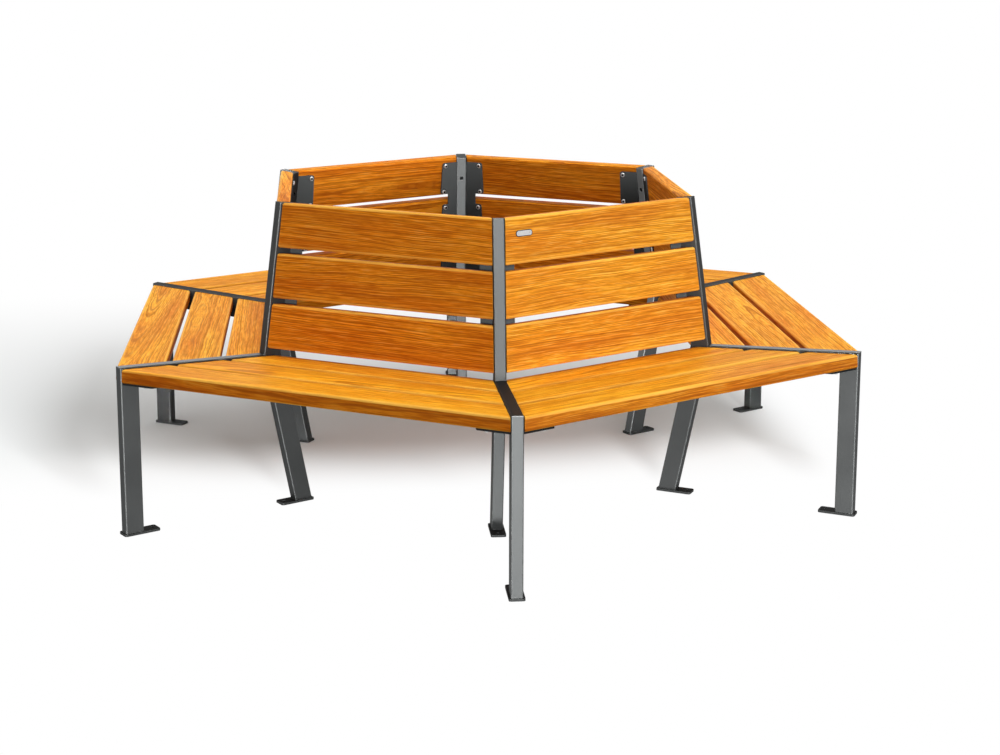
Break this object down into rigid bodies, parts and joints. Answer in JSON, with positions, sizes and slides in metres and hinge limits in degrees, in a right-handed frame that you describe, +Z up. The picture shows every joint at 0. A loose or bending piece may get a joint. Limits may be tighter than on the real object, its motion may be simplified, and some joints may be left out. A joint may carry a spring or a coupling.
{
  "type": "tree bench",
  "caption": "Hexagonal bench that rings a tree: sloped timber seat boards and a leaning board back on mitred steel tube frames with bolted foot plates.",
  "frame": {"origin": "on the floor at the centre of the hexagon, where the tree stands", "axes": "+Z up, -Y towards the front corner, +X to the right seen from the front"},
  "size_m": [1.964, 2.25, 0.8357],
  "materials": {
    "oiled_timber": "oiled, satin",
    "frame_paint": "dark grey satin powder coat",
    "bracket_paint": "dark grey satin powder coat"
  },
  "bodies": {
    "root": {"back_board_bottom_back_left_side": "oiled_timber", "back_board_bottom_back_right_side": "oiled_timber", "back_board_bottom_front_left_side": "oiled_timber", "back_board_bottom_front_right_side": "oiled_timber", "back_board_bottom_left_side": "oiled_timber", "back_board_bottom_right_side": "oiled_timber", "back_board_middle_back_left_side": "oiled_timber", "back_board_middle_back_right_side": "oiled_timber", "back_board_middle_front_left_side": "oiled_timber", "back_board_middle_front_right_side": "oiled_timber", "back_board_middle_left_side": "oiled_timber", "back_board_middle_right_side": "oiled_timber", "back_board_top_back_left_side": "oiled_timber", "back_board_top_back_right_side": "oiled_timber", "back_board_top_front_left_side": "oiled_timber", "back_board_top_front_right_side": "oiled_timber", "back_board_top_left_side": "oiled_timber", "back_board_top_right_side": "oiled_timber", "back_brackets": "bracket_paint", "back_support_back_corner": "frame_paint", "back_support_front_corner": "frame_paint", "back_support_left_back_corner": "frame_paint", "back_support_left_front_corner": "frame_paint", "back_support_right_back_corner": "frame_paint", "back_support_right_front_corner": "frame_paint", "inner_foot_plates": "frame_paint", "outer_foot_plates": "frame_paint", "outer_leg_back_corner": "frame_paint", "outer_leg_front_corner": "frame_paint", "outer_leg_left_back_corner": "frame_paint", "outer_leg_left_front_corner": "frame_paint", "outer_leg_right_back_corner": "frame_paint", "outer_leg_right_front_corner": "frame_paint", "seat_board_inner_back_left_side": "oiled_timber", "seat_board_inner_back_right_side": "oiled_timber", "seat_board_inner_front_left_side": "oiled_timber", "seat_board_inner_front_right_side": "oiled_timber", "seat_board_inner_left_side": "oiled_timber", "seat_board_inner_right_side": "oiled_timber", "seat_board_middle_back_left_side": "oiled_timber", "seat_board_middle_back_right_side": "oiled_timber", "seat_board_middle_front_left_side": "oiled_timber", "seat_board_middle_front_right_side": "oiled_timber", "seat_board_middle_left_side": "oiled_timber", "seat_board_middle_right_side": "oiled_timber", "seat_board_outer_back_left_side": "oiled_timber", "seat_board_outer_back_right_side": "oiled_timber", "seat_board_outer_front_left_side": "oiled_timber", "seat_board_outer_front_right_side": "oiled_timber", "seat_board_outer_left_side": "oiled_timber", "seat_board_outer_right_side": "oiled_timber", "seat_brackets": "bracket_paint", "seat_rail_back_corner": "frame_paint", "seat_rail_front_corner": "frame_paint", "seat_rail_left_back_corner": "frame_paint", "seat_rail_left_front_corner": "frame_paint", "seat_rail_right_back_corner": "frame_paint", "seat_rail_right_front_corner": "frame_paint"}
  },
  "joints": []
}
